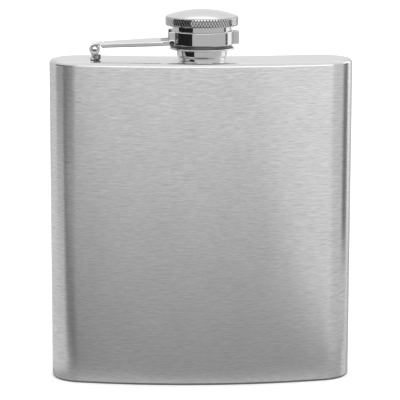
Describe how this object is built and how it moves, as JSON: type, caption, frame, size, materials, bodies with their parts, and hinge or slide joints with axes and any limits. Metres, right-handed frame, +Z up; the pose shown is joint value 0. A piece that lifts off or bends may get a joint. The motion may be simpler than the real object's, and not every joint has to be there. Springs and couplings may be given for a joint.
{
  "type": "hip flask",
  "caption": "Slim kidney-section hip flask in brushed steel with a knurled screw cap held captive by a hinged lanyard arm.",
  "frame": {"origin": "centre of the footprint on the surface the flask stands on", "axes": "+Z up through the cap, +Y from the convex face towards the concave face, +X away from the lanyard hinge"},
  "size_m": [0.095, 0.026, 0.1177],
  "materials": {
    "brushed_body": "brushed stainless steel, fine streaks running across the flask",
    "satin_plate": "satin stainless steel with a polished rim",
    "polished_steel": "polished stainless steel",
    "seal_rubber": "matte translucent-grey silicone rubber"
  },
  "bodies": {
    "flask": {"body_wrapper": "brushed_body", "top_plate": "satin_plate", "bottom_plate": "satin_plate", "neck_spout": "polished_steel", "hinge_lug": "polished_steel", "hinge_pin": "polished_steel"},
    "arm": {"lanyard_arm": "polished_steel"},
    "collar": {"collar_band": "polished_steel", "collar_rivet_front": "polished_steel", "collar_rivet_back": "polished_steel"},
    "cap": {"cap_knob": "polished_steel", "cap_sleeve": "polished_steel", "cap_liner": "polished_steel", "cap_seal": "seal_rubber"}
  },
  "joints": [
    {"name": "arm_swing", "type": "hinge", "parent": "flask", "child": "arm", "pos_m": [-0.0333, -0.00171, 0.1058], "axis": [0, -1, 0], "range_deg": [0, 175]},
    {"name": "collar_tilt", "type": "hinge", "parent": "arm", "child": "collar", "pos_m": [-0.00945, -0.00171, 0.10778], "axis": [0, -1, 0], "range_deg": [0, 35]},
    {"name": "cap_turn", "type": "hinge", "parent": "collar", "child": "cap", "pos_m": [0, -0.00171, 0.109], "axis": [0, 0, 1], "continuous": true}
  ],
  "couplings": [
    {"joint": "collar_tilt", "follows": "arm_swing", "ratio": 0.2}
  ]
}
